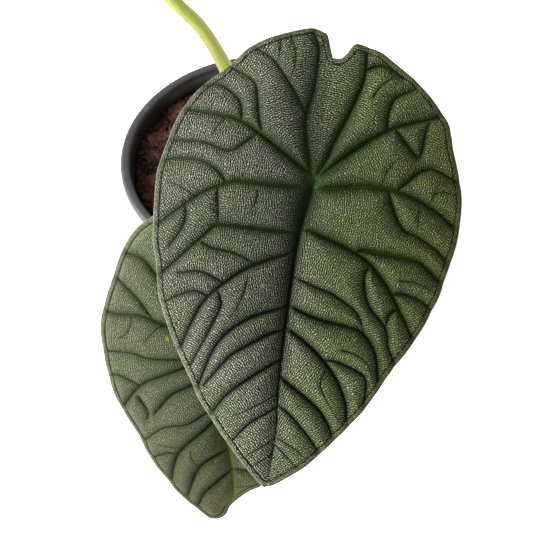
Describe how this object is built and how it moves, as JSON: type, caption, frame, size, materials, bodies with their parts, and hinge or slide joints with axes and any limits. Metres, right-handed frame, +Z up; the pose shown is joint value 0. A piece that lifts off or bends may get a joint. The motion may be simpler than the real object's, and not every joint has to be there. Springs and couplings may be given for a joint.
{
  "type": "potted alocasia melo",
  "caption": "Aroid house plant with thick, quilted shield-shaped leaves on arching stalks, growing from soil in a round dark nursery pot.",
  "frame": {"origin": "centre of the pot's flat base, on the surface that it stands on", "axes": "+Z up; -Y towards the front leaf, the side that the plant is seen from; +X to the right seen from there"},
  "size_m": [0.1622, 0.2289, 0.2269],
  "materials": {
    "pot": "moulded dark grey plastic, satin, a little lighter on the lip",
    "soil": "crumbly dark brown potting mix with bark, dull",
    "stems": "smooth fleshy yellow-green stalk, soft sheen",
    "blade": "thick pebbled grey-green leaf, dark green sunken veins, low sheen",
    "blade_lower": "thick pebbled leaf, a little lighter and softer veined than the front one"
  },
  "bodies": {
    "root": {"pot": "pot", "soil": "soil", "stems": "stems", "blade_front": "blade", "blade_lower": "blade_lower", "blade_back": "blade"}
  },
  "joints": []
}
